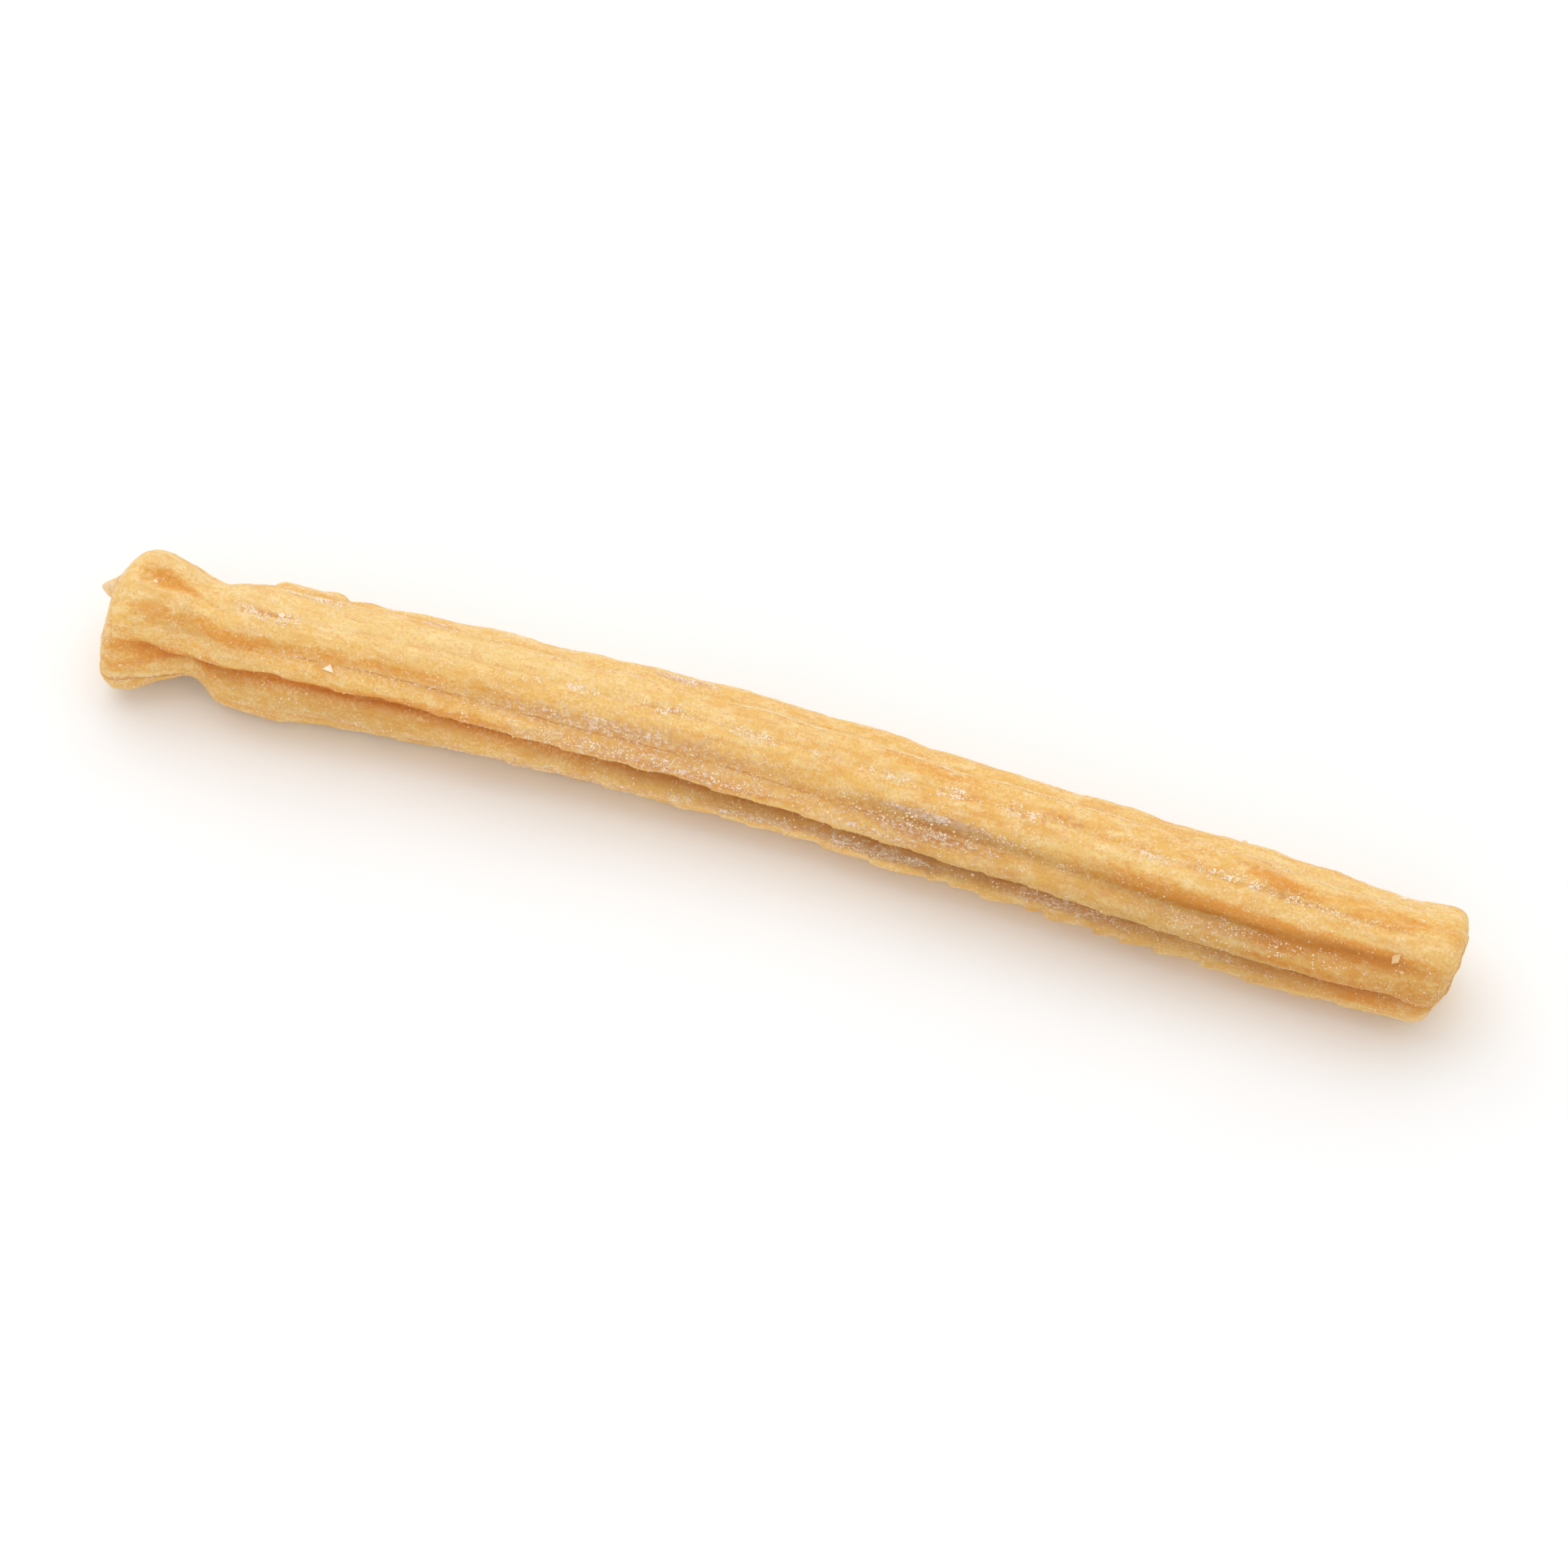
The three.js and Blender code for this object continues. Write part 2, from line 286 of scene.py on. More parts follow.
def nub_reach(x, share, bearing):
    """How far the torn nubs stand out of the lip's face."""
    reaches = []
    for nub in NUBS:
        sideways = (share * np.sin(np.radians(bearing)) - nub["across"]) / nub["half_width"]
        upwards = (share * np.cos(np.radians(bearing)) - nub["up"]) / nub["half_height"]
        reaches.append(nub["reach"] * np.exp(-(sideways**2) - upwards**2))
    return (1 - step(x, LIP_END, LIP_END + NUB_RISE)) * np.maximum(*reaches)


station = ring_x[:, None] + np.zeros_like(bearing)
share = ring_share[:, None] + np.zeros_like(bearing)
radius = share * radius_at(station, bearing)
at_lip = 1 - step(station, LIP_END, LIP_END + LIP_LEAN["reach"])
at_cut = step(station, CUT_END - CUT_LEAN["reach"], CUT_END)
smooth = np.stack([
    station + at_lip * lean_at(LIP_LEAN, radius, bearing) + at_cut * lean_at(CUT_LEAN, radius, bearing)
    - nub_reach(station, share, bearing),
    through(BOW, station) - radius * np.sin(np.radians(bearing)),
    SPINE_HEIGHT + through(LIFT, station) + radius * np.cos(np.radians(bearing)),
], axis=-1)
print("smooth bar:", np.ptp(smooth.reshape(-1, 3), axis=0).round(1), "mm")

# %% [markdown]
# ## One mesh from the rings
# Rings and columns make a sheet of quads that closes round the bar. At each end all the points of the
# last ring lie in one spot, so they are one vertex with a fan of triangles: a heap of quads squeezed
# into a point would shade badly.

# %% Build the crust's mesh
def grid_faces(rings, columns):
    """Quads between neighbouring rings, and a fan of triangles at each end."""
    first, last = 0, 1 + (rings - 2) * columns
    ring = np.arange(rings - 2)
    column = np.arange(columns)
    start = 1 + ring[:-1, None] * columns
    beside = (column + 1) % columns
    quads = np.stack([start + column, start + columns + column,
                      start + columns + beside, start + beside], axis=-1).reshape(-1, 4)
    end = 1 + (rings - 3) * columns
    near_fan = [(first, 1 + c, 1 + (c + 1) % columns) for c in range(columns)]
    far_fan = [(last, end + (c + 1) % columns, end + c) for c in range(columns)]
    return [tuple(q) for q in quads.tolist()] + near_fan + far_fan


def as_vertices(grid):
    """The grid as a list of vertices, with one vertex for each end's spot."""
    flat = grid[1:-1].reshape(-1, *grid.shape[2:])
    return np.concatenate([grid[0, :1], flat, grid[-1, :1]])


def new_piece(name, vertices, faces, material):
    """A smooth-shaded mesh object from points in millimetres."""
    mesh = bpy.data.meshes.new(name)
    mesh.from_pydata((np.asarray(vertices) * MM).tolist(), [], faces)
    mesh.shade_smooth()
    mesh.materials.append(material)
    piece = bpy.data.objects.new(name, mesh)
    bpy.context.scene.collection.objects.link(piece)
    return piece


crust_material = bpy.data.materials.new("fried choux crust")
crust = new_piece("crust", as_vertices(smooth), grid_faces(*bearing.shape), crust_material)
normals = np.zeros(len(crust.data.vertices) * 3, np.float32)
crust.data.vertex_normals.foreach_get("vector", normals)
normals = normals.reshape(-1, 3).astype(float)
print(len(crust.data.polygons), "faces")

# %% [markdown]
# ## The crust's relief
# Frying sets the skin in fine grains about a millimetre across, over softer lumps, and the nozzle
# drags streaks along the bar. Noise makes all three. Each grain size is a real one in millimetres, and
# streaks are the same noise drawn out along X. Real geometry is used, and not only a bump in the
# shader, because these grains show along the outline too.

# %% Noise over the crust
vertex_x = as_vertices(station)
vertex_bearing = as_vertices(bearing)
points = as_vertices(smooth)


def grains(size, octaves, stretch=1.0, shift=0.0):
    """Noise from about -1 to 1 at each vertex, with grains of this size. A shift gives another pattern."""
    scaled = points / size / np.array([stretch, 1, 1]) + shift
    return np.array([noise.fractal(Vector(p), 1.0, 2.0, octaves) for p in scaled])


GRAIN_SIZE = 1.0
GRAIN_HEIGHT = 0.09
LUMP_SIZE = 3.4
LUMP_HEIGHT = 0.28
STREAK_SIZE = 1.0
STREAK_LENGTH = 14.0
STREAK_HEIGHT = 0.03
BLISTER_SIZE = 2.3
BLISTER_HEIGHT = 0.3
BLISTER_START = 0.25

fine_grain = grains(GRAIN_SIZE, 3)
soft_lumps = grains(LUMP_SIZE, 2, stretch=1.8, shift=11.0)
streaks = grains(STREAK_SIZE, 2, stretch=STREAK_LENGTH / STREAK_SIZE, shift=23.0)
blisters = np.clip(grains(BLISTER_SIZE, 1, stretch=1.3, shift=37.0) - BLISTER_START, 0, None) ** 2
print("grain from", fine_grain.min().round(2), "to", fine_grain.max().round(2))

# %% [markdown]
# The nozzle doesn't let go evenly. Under the front lobe the dough caught and slid in turn, and left a
# row of overlapping scales: each swells slowly and ends in a small step. The back has them too, and
# smaller ones make the lower edge of the front lobe wavy. A row follows a path of bearings, and lists
# where along the bar its scales end.

# %% Scales where the dough caught on the nozzle
FRONT_SCALES = dict(
    path=[[-90, 122], [110, 122]], width=32,
    height=[[-90, 0.3], [20, 0.4], [50, 0.7], [84, 0.8], [92, 0.35]],
    ends=[-92, -81, -69, -60, -48, -43, -37, -30, -24, -17, -8, -3, 4, 11, 20, 31, 35, 41, 49.5, 53,
          62.5, 67.2, 73.9, 82.6, 91, 99, 108])
BACK_SCALES = dict(
    path=[[-90, -75], [110, -75]], width=26,
    height=[[-72, 0.3], [40, 0.36], [72, 0.6], [84, 0.5], [96, 0.3]],
    ends=[-72, -58, -50, -38, -27, -13, -4, 9, 17, 30, 41, 49, 63, 72, 84, 95, 107])
EDGE_SCALES = dict(
    path=[[-118, 58], [-93, 58], [-57, 64], [-30, 71], [0, 74], [61, 77], [115, 77]], width=9,
    height=[[-118, 0.15], [-100, 0.25], [100, 0.25], [115, 0.1]],
    ends=[-112, -101, -90, -80, -71, -62, -57, -47, -38, -31, -25, -16, -10, -2, 7, 13, 22, 28, 33, 42,
          50, 55, 64, 73, 79, 88, 97, 103])
STEP_LENGTH = 0.6
ROW_EDGE_POWER = 4


def scales_at(row, x, bearing):
    """Each scale swells up to its end, and drops there within a step's length."""
    height = np.zeros_like(x)
    for start, end in zip(row["ends"][:-1], row["ends"][1:]):
        swell = step(x, start, end) * (1 - step(x, end, end + STEP_LENGTH))
        height = np.maximum(height, swell)
    from_path = turn(through(row["path"], x), bearing) / row["width"]
    return through(row["height"], x) * height * np.exp(-(from_path**ROW_EDGE_POWER))


scales = sum(scales_at(row, vertex_x, vertex_bearing) for row in (FRONT_SCALES, BACK_SCALES, EDGE_SCALES))
print("scales rise up to", scales.max().round(2), "mm")

# %% [markdown]
# ## Places that are rougher, frostier or browner
# The crust isn't the same all over, so each of its finishes has a list of soft patches. A row is one
# patch: the x of its middle and its half length in millimetres, the bearing of its middle and its half
# width in degrees, and how much of the finish lies in its middle. Later a vertex attribute carries
# each finish to the material, and to the pieces that are scattered.

# %% How a finish is painted
PATCH = "x length bearing width amount"


def painted(patches):
    """How much of a finish lies at each vertex, from 0 to 1, where its patches overlap softly."""
    bare = np.ones_like(vertex_x)
    for patch in patches:
        bare *= 1 - patch["amount"] * patch_share(dict(patch, edge=1), vertex_x, vertex_bearing)
    return 1 - bare


print("a patch has:", PATCH)

# %% [markdown]
# A rough line of torn skin and crumbs follows the crease along the top, with a few tears behind it.

# %% Torn skin
TORN = table(
    PATCH,
    (-94, 10, 4, 10, 0.8), (-87, 9, -30, 5, 1.0), (-46, 4, 9, 5, 0.8), (-20, 9, -31, 6, 0.7),
    (-36, 6, 9, 6, 0.9), (-20, 9, 9, 7, 1.0), (-4, 9, 12, 8, 0.9), (8, 6, 12, 6, 0.8),
    (22, 9, 11, 7, 0.9), (34, 7, 9, 8, 1.0), (48, 9, 8, 9, 1.0), (71, 6, 10, 7, 0.9),
    (86, 11, 9, 11, 0.6), (97, 12, 10, 9, 0.55), (106, 9, 13, 6, 0.4), (113, 7, 9, 6, 0.25),
    (28, 20, 46, 14, 0.4), (94, 24, 57, 11, 0.25), (-22, 50, 58, 14, 0.25),
)
torn = painted(TORN)
print("torn share", round(float(torn.mean()), 3))

# %% [markdown]
# Sugar lies thickest in the front crease near the middle and along the foot of the front, and thinly
# around them. On the front, which faces away from the light, it is laid as a darker dust: partly a real
# film of dust, partly painted shade.

# %% Frost of sugar
FROST = table(
    PATCH,
    (32, 24, 36, 9, 0.85), (30, 24, 54, 12, 0.65), (24, 22, 66, 9, 0.4), (24, 20, 94, 12, 0.85),
    (2, 30, 97, 10, 0.6), (58, 30, 92, 12, 0.65), (-28, 56, 38, 20, 0.55), (-20, 60, 60, 17, 0.5),
    (-45, 60, 104, 18, 0.5), (84, 34, 58, 16, 0.32), (-88, 6, -27, 3, 1.0), (-66, 9, -31, 4, 0.7),
    (-20, 10, -31, 8, 1.0), (0, 16, -17, 4, 0.5), (88, 24, 97, 8, 0.35),
)
# Only the front gets the darker dust: partly dust, partly painted shade where the crust faces away from the
# light.
SHADED_DUST_BEARINGS = dict(start=14, end=28)

frost = painted(FROST)
shaded_dust = frost * step(vertex_bearing, **SHADED_DUST_BEARINGS)
print("frosted share", round(float(frost.mean()), 3))

# %% [markdown]
# The top is paler, most of all left of the middle and on the two ends: partly blond crust that floated
# out of the oil, partly painted light on the top, which faces the light.
# Dough that tore late hardly fried: the rim of the lip, its nub and the torn flake are paler still.

# %% Blond and lit crust, and pale dough
BLOND_AND_LIT = table(
    PATCH,
    (-66, 60, -6, 38, 0.95), (-14, 44, 0, 40, 0.35), (-110, 16, -30, 60, 0.5), (-120, 7, 0, 60, 0.6),
    (-107, 14, 17, 9, 0.8), (76, 60, 28, 9, 0.6), (116, 14, 24, 9, 0.6), (68, 26, 18, 8, 0.7),
    (97, 14, -22, 12, 0.7), (-100, 14, -18, 26, 0.6), (-103, 18, 49, 11, 0.7), (112, 20, -24, 18, 0.9),
    (98, 12, -14, 8, 0.7), (-40, 70, -45, 25, 0.4),
)
PALE = table(
    PATCH,
    (-123, 2.5, 17, 200, 0.6), (-88, 7, -45, 14, 0.5), (118, 12, -35, 26, 0.5),
)
NUB_PALENESS = 2
NUB_PALE_START = 0.3

# Paler top: partly blond crust, partly painted light.
blond_and_lit = painted(BLOND_AND_LIT)
nub = as_vertices(nub_reach(station, share, bearing)) / NUBS[0]["reach"]
pale = np.maximum(painted(PALE), np.clip(NUB_PALENESS * nub - NUB_PALE_START, 0, 1))
print("blond share", round(float(blond_and_lit.mean()), 3), "pale share", round(float(pale.mean()), 3))

# %% [markdown]
# The oil browned a few spots along the top crease and in the front crease. It also browned the foot of
# the nub and the pits between torn grains, where a thin edge stood free.

# %% Browned spots
BROWNING = table(
    PATCH,
    (-94, 9, 2, 6, 0.9), (-22, 12, 11, 6, 0.6), (-2, 8, 12, 5, 0.4), (34, 9, 10, 8, 0.6),
    (32, 20, 45, 6, 1.0), (30, 22, 53, 14, 0.55), (12, 20, 46, 5, 0.7), (54, 8, 2, 9, 0.7),
    (89, 9, -7, 6, 0.6), (97, 13, 10, 8, 0.75), (105, 8, 9, 6, 0.5), (-24, 40, 44, 5, 0.5),
    (-110, 11, 83, 9, 0.6),
)
NUB_FOOT = 0.1
NUB_TRACE = 0.01
PIT_BROWNING = 2.5

nub_foot = np.exp(-(((nub - NUB_FOOT) / NUB_FOOT) ** 2)) * (nub > NUB_TRACE)
pits = torn * np.clip(-PIT_BROWNING * fine_grain, 0, 1)
browning = np.maximum(np.maximum(painted(BROWNING), nub_foot), pits)
print("browned share", round(float(browning.mean()), 3))

# %% [markdown]
# Oil soaked in deepest in the hollows of the lip, along the front crease and near the cut end. There
# the crust is smooth and orange, with few dry grains on it. These patches also paint the shade that
# falls in the hollows and creases into the colour: partly oil, partly painted shade.

# %% Deep oil and painted shade in the hollows
OIL_AND_SHADE = table(
    PATCH,
    (-113.5, 10, -4, 20, 0.85), (-117, 8, 64, 14, 0.9), (-113, 8, 70, 10, 0.9), (-118, 8, 88, 18, 0.7),
    (-102, 24, 32, 15, 0.6), (-115, 9, 30, 13, 0.5), (-110, 12, 80, 14, 1.0), (-107, 7, 82, 16, 1.0),
    (-100, 9, 62, 9, 0.7), (-86, 24, 64, 8, 0.8), (-72, 40, 30, 11, 0.65), (84, 45, 44, 9, 0.8),
    (96, 16, 48, 7, 0.7), (112, 18, 44, 13, 1.0), (117, 17, -2, 14, 0.65), (68, 22, 29, 6, 0.6),
    (113, 15, 36, 10, 0.9), (113, 12, 98, 10, 0.7), (92, 12, -4, 8, 0.7), (118, 30, 74, 45, 0.6),
    (66, 14, 22, 8, 0.3), (88, 46, 36, 10, 0.95), (-14, 52, 45, 11, 0.3), (-14, 44, 63, 9, 0.9),
    (-64, 34, 60, 12, 1.0), (-100, 14, 74, 14, 0.45), (-100, 12, 37, 7, 0.5), (97, 14, 57, 9, 0.8),
    (98, 14, 70, 7, 0.9), (97, 12, 1, 11, 0.9), (112, 12, 7, 9, 0.5), (30, 22, -7, 12, 0.6),
    (-14, 30, -12, 16, 0.3),
)
oil_and_shade = painted(OIL_AND_SHADE)
print("oiled share", round(float(oil_and_shade.mean()), 3))

# %% [markdown]
# The front faces away from the light, so its whole colour is painted darker, most of all right of the
# middle, and so are a few places above it: painted shade, which dulls the frost there too. The floors
# of the creases are painted darker and more amber, each as much as it is deep there: partly their own
# colour, partly painted shade.

# %% Painted shade on the front and in the creases
PAINTED_SHADE = table(
    PATCH,
    (78, 72, 84, 52, 0.9), (34, 36, 84, 22, 1.0), (30, 24, 42, 11, 0.9), (86, 42, 47, 11, 0.9),
    (2, 62, 88, 17, 0.9), (108, 20, 41, 9, 0.9), (46, 24, 42, 9, 0.8), (-80, 40, 88, 22, 0.45),
    (-99, 12, 47, 10, 0.35), (122, 20, 62, 50, 0.5), (66, 32, 36, 10, 0.4), (68, 28, 48, 16, 0.25),
    (-8, 44, 46, 13, 0.15), (-100, 14, 76, 12, 0.35), (97, 14, 57, 13, 0.5), (97, 11, 9, 12, 0.35),
    (113, 10, 54, 10, 0.35), (30, 24, 54, 15, 0.35), (30, 24, 36, 10, 0.2), (30, 24, 94, 14, 0.8),
    (-12, 40, 84, 10, 0.5),
)
VALLEY_SHARPNESS = 1.4
CREASE_AMBER_AND_SHADE_ALONG = [[-112, 0.45], [-104, 0.5], [-80, 0.9], [-50, 0.85], [-20, 0.8], [40, 0.75], [90, 0.6],
              [106, 1.0], [125, 1.0]]

painted_shade = painted(PAINTED_SHADE)
# The creases are darker the deeper they are: partly oil's amber, partly painted shade.
crease_amber_and_shade = through(CREASE_AMBER_AND_SHADE_ALONG, vertex_x) * crease_fade(vertex_x) * sum(
    crease_depth(crease, vertex_x, vertex_bearing) for crease in CREASES
) / DEEPEST_CREASE
crease_amber_and_shade = crease_amber_and_shade**VALLEY_SHARPNESS
print("well-done share", round(float(painted_shade.mean()), 3))

# %% [markdown]
# Where the skin set first and the dough inside went on swelling, it split in hairline cracks with pale
# lips, and at the foot of the front crease it folded over itself. Cracks are thinner than the mesh, so
# each vertex only carries its signed way to the crack in millimetres. That number runs evenly across a
# face, so the material can draw the line as thin as it is.

# %% Hairline cracks
CRACKS = dict(
    back_crack=dict(path=[[-95, -28], [-88, -26], [-81, -34], [-64, -24], [-42, -18], [-13, -14],
                          [31, -13], [60, -17], [97, -16], [112, -13]],
                    depth=0.14, width=0.5, line=0.14, shown=0.6, least=0.0, lip=0.3),
    front_fold=dict(path=[[-93, 36], [-79, 36], [-67, 37.5], [-56, 40], [-41, 44], [-27, 46], [2, 48],
                          [20, 50], [38, 51], [52, 47], [60, 46]],
                    depth=0.14, width=0.6, line=0.24, shown=0.55, least=0.15, lip=0.1),
    lip_crack=dict(path=[[-123, 106], [-119, 104], [-115, 106], [-112, 106], [-108, 114], [-106, 117]],
                   depth=0.7, width=0.6, line=0.45, shown=0.6, least=0.6, lip=0.3),
)
END_FADE = 3.0

crack_ways, crack_shares = {}, {}
cracked = np.zeros_like(vertex_x)
crack_depth = np.zeros_like(vertex_x)
for name, crack in CRACKS.items():
    start, end = crack["path"][0][0], crack["path"][-1][0]
    crack_ways[name] = np.radians(turn(through(crack["path"], vertex_x), vertex_bearing)) * CREST_RADIUS
    crack_shares[name] = (step(vertex_x, start, start + END_FADE)
                          * (1 - step(vertex_x, end - END_FADE, end)))
    near = np.exp(-((crack_ways[name] / crack["width"]) ** 2)) * crack_shares[name]
    cracked = np.maximum(cracked, near)
    crack_depth += crack["depth"] * near
print("vertices on a crack:", int((cracked > 0.5).sum()))

# %% [markdown]
# Now the relief is added up and the crust is pushed out along its normals, in and out by a few tenths
# of a millimetre. Torn skin is rougher than the rest. The table still flattens what would be below it.
# The bar then moves to where the frame says it lies: the cut end, the width and the table line up.

# %% Push the relief out along the normals
TORN_GRAIN = 1.7
TORN_DEPTH = 0.14

relief = (
    GRAIN_HEIGHT * fine_grain * (1 + TORN_GRAIN * torn)
    + LUMP_HEIGHT * soft_lumps
    + STREAK_HEIGHT * streaks
    + BLISTER_HEIGHT * blisters
    + scales
    - TORN_DEPTH * torn
    - crack_depth
)
rough = points + normals * relief[:, None]
to_frame = np.array([
    frame_high[0] / MM - points[:, 0].max(),
    (frame_high[1] + frame_low[1]) / 2 / MM - (points[:, 1].max() + points[:, 1].min()) / 2,
    0,
])
rough = rough + to_frame
rough[:, 2] = np.clip(rough[:, 2], 0, None)
crust.data.vertices.foreach_set("co", (rough * MM).astype(np.float32).ravel())
carried_values = dict(crease_amber_and_shade=crease_amber_and_shade, frost=frost, browning=browning, pale=pale, torn=torn,
                      oil_and_shade=oil_and_shade, painted_shade=painted_shade, blond_and_lit=blond_and_lit, shaded_dust=shaded_dust)
for name in CRACKS:
    carried_values[name] = crack_ways[name]
    carried_values[name + "_share"] = crack_shares[name]
for name, values in carried_values.items():
    attribute = crust.data.attributes.new(name, "FLOAT", "POINT")
    attribute.data.foreach_set("value", values.astype(np.float32))
crust.data.update()
print("crust:", np.ptp(rough, axis=0).round(1), "mm, moved by", to_frame.round(2))

# %% [markdown]
# ## Fried choux crust
# The real crust is a thin skin of starch that oil has browned: satin rather than glossy, with light
# that sinks in and comes out warmer, as in all bread. Its gold is pale on the crests and deeper in the
# creases: partly its own colour, where the skin is thickest and driest on the crests and oil stayed in
# the creases, and partly painted light on the crests and painted shade in the creases. Colours are
# given as the hex values of a colour picker, and one function turns them into the linear values that a
# shader wants.

# %% Helpers for materials
MOST_OF_NOISE = (0.35, 0.65)


def linear(hex_value):
    """A hex sRGB colour as linear RGBA."""
    channels = [int(hex_value[i:i + 2], 16) / 255 for i in (1, 3, 5)]
    return [c / 12.92 if c <= 0.04045 else ((c + 0.055) / 1.055) ** 2.4 for c in channels] + [1.0]


def give(node, inputs):
    """Gives a node its inputs. Each value is a number, a colour or another node's output."""
    for name, value in inputs.items():
        if isinstance(value, bpy.types.NodeSocket):
            node.id_data.links.new(value, node.inputs[name])
        else:
            node.inputs[name].default_value = value


def add(tree, kind, inputs=None, **settings):
    """Adds a node with its settings and inputs."""
    node = tree.nodes.new(kind)
    for name, value in settings.items():
        setattr(node, name, value)
    give(node, inputs or {})
    return node


def blend(amount, below, above, **settings):
    """Lays one colour over another by an amount. An output knows its own tree, so none is passed."""
    mix = add(amount.id_data, "ShaderNodeMix", {0: amount, 6: below, 7: above}, data_type="RGBA", **settings)
    return mix.outputs[2]


def ranged(value, low, high, to_low=0.0, to_high=1.0):
    """Turns the range low to high into another range, and stops at its ends."""
    node = add(value.id_data, "ShaderNodeMapRange",
               {"Value": value, "From Min": low, "From Max": high, "To Min": to_low, "To Max": to_high})
    return node.outputs["Result"]


def noise_of(coordinates, size_mm, detail=3.0, roughness=0.55):
    """Noise from about 0.3 to 0.7, with grains of this size."""
    node = add(coordinates.id_data, "ShaderNodeTexNoise",
               {"Vector": coordinates, "Scale": 1 / (size_mm * MM), "Detail": detail, "Roughness": roughness})
    return node.outputs["Fac"]


def surface_of(material, **inputs):
    """Gives a material one Principled shader."""
    material.use_nodes = True
    tree = material.node_tree
    tree.nodes.clear()
    shader = add(tree, "ShaderNodeBsdfPrincipled",
                 {name.replace("_", " "): value for name, value in inputs.items()})
    add(tree, "ShaderNodeOutputMaterial", {"Surface": shader.outputs[0]})
    return shader


def clouded_material(name, size_mm, below, above, **finish):
    """A new material of one colour clouded with another, in patches of about this size."""
    material = bpy.data.materials.new(name)
    shader = surface_of(material, **finish)
    coordinates = add(material.node_tree, "ShaderNodeTexCoord").outputs["Object"]
    cloudy = ranged(noise_of(coordinates, size_mm), *MOST_OF_NOISE)
    give(shader, {"Base Color": blend(cloudy, linear(below), linear(above))})
    return material


print("gold crust in linear light:", np.round(linear("#ecbd66"), 3))

# %% [markdown]
# The colour is laid on in the order in which it came about, and the ground is first: golden dough with
# clouds of orange where oil soaked in, blond on the top, partly where it floated out of the oil and
# partly painted light, cream where the skin blistered dry, orange streaks along the bar, and amber in
# the creases, partly their own colour and partly painted shade. Noise patterns read the object's own
# coordinates in metres, so a scale of 1 divided by a size in metres gives grains of that size.

# %% The crust's golden ground
GOLD = linear("#ecbd66")
CREAM = linear("#f9e2ad")
BLOND_AND_LIT_CRUST = linear("#f1d38f")
ORANGE = linear("#de9a40")
OIL_AND_SHADE_GOLD = linear("#e2a048")
OIL_AND_SHADE_TINT = linear("#fff1ce")
PAINTED_SHADE_TINT = linear("#d7cdbc")
CREASE_SHADE_TINT = linear("#ffeccb")
AMBER = linear("#c98432")
TOASTED = linear("#d48a42")
PALE_DOUGH = linear("#f2d5b2")
CRACK_BROWN_AND_SHADOW = linear("#c47a36")
SHADED_DUST = linear("#d29d66")
SUGAR_FROST = linear("#f3e3d4")

crust_shader = surface_of(crust_material, Roughness=0.6)
crust_tree = crust_material.node_tree
place = add(crust_tree, "ShaderNodeTexCoord").outputs["Object"]


def drawn_out(share):
    """The crust's coordinates, with patterns drawn out along the bar. A smaller share draws more."""
    return add(crust_tree, "ShaderNodeMapping", {"Vector": place, "Scale": (share, 1.0, 1.0)}).outputs[0]


def carried(name):
    """A value that the crust's vertices carry."""
    return add(crust_tree, "ShaderNodeAttribute", attribute_name=name).outputs["Fac"]


def clouds(coordinates, size_mm, start, full, most, least=0.0, detail=4, roughness=0.6):
    """Clouds of noise, from the least where it is below start to the most where it is above full."""
    pattern = noise_of(coordinates, size_mm, detail, roughness)
    return ranged(pattern, start, full, least, most)


def laid_over(colour, layers):
    """Lays finishes over a colour one by one, each by its own amount."""
    for amount, finish in layers:
        colour = blend(amount, colour, finish)
    return colour


half_drawn = drawn_out(0.5)
colour = laid_over(GOLD, [
    (clouds(half_drawn, size_mm=4.0, start=0.48, full=0.7, most=0.5, roughness=0.55), ORANGE),
    # blond: partly the crust's own colour, partly painted light on the top
    (ranged(carried("blond_and_lit"), 0, 1, to_high=0.8), BLOND_AND_LIT_CRUST),
    (clouds(half_drawn, size_mm=1.9, start=0.46, full=0.66, most=0.6, detail=5, roughness=0.7), CREAM),
    (clouds(drawn_out(0.2), size_mm=1.6, start=0.5, full=0.7, most=0.5), ORANGE),
    # amber in the creases: partly their own colour, partly painted shade
    (ranged(carried("crease_amber_and_shade"), 0.05, 0.75, to_high=0.8), AMBER),
])
print("golden ground laid")

# %% [markdown]
# Fried grains show singly, half a millimetre across: the dry ones are pale specks, which also stand for
# glints of light on the grain tops as painted highlights, and the oily ones between them are orange.
# Two fine noises give both. Deep oil breaks up into clumps of a smoother, oilier gold, which is partly
# painted shade. Pale grains are laid over it, only half as many as elsewhere, and a light tint is
# multiplied over them all, so that oil and painted shade deepen the grains too.

# %% Pale and oily grains
OILY_DRYNESS = 0.5


def reckon(operation, *values):
    """A sum or product of numbers and of other nodes' values."""
    return add(crust_tree, "ShaderNodeMath", dict(enumerate(values)), operation=operation).outputs[0]


def broken_up(name, pattern, most, start=0.3, full=1.0, spread=0.45):
    """A carried amount, broken into grains by a pattern, up to the most that it may cover."""
    uneven = ranged(pattern, *MOST_OF_NOISE, -spread, spread)
    return ranged(reckon("ADD", carried(name), uneven), start, full, 0, most)


def tinted(colour, amount, tint):
    """Deepens the colour, grains and all, by an amount."""
    return blend(amount, colour, tint, blend_type="MULTIPLY")


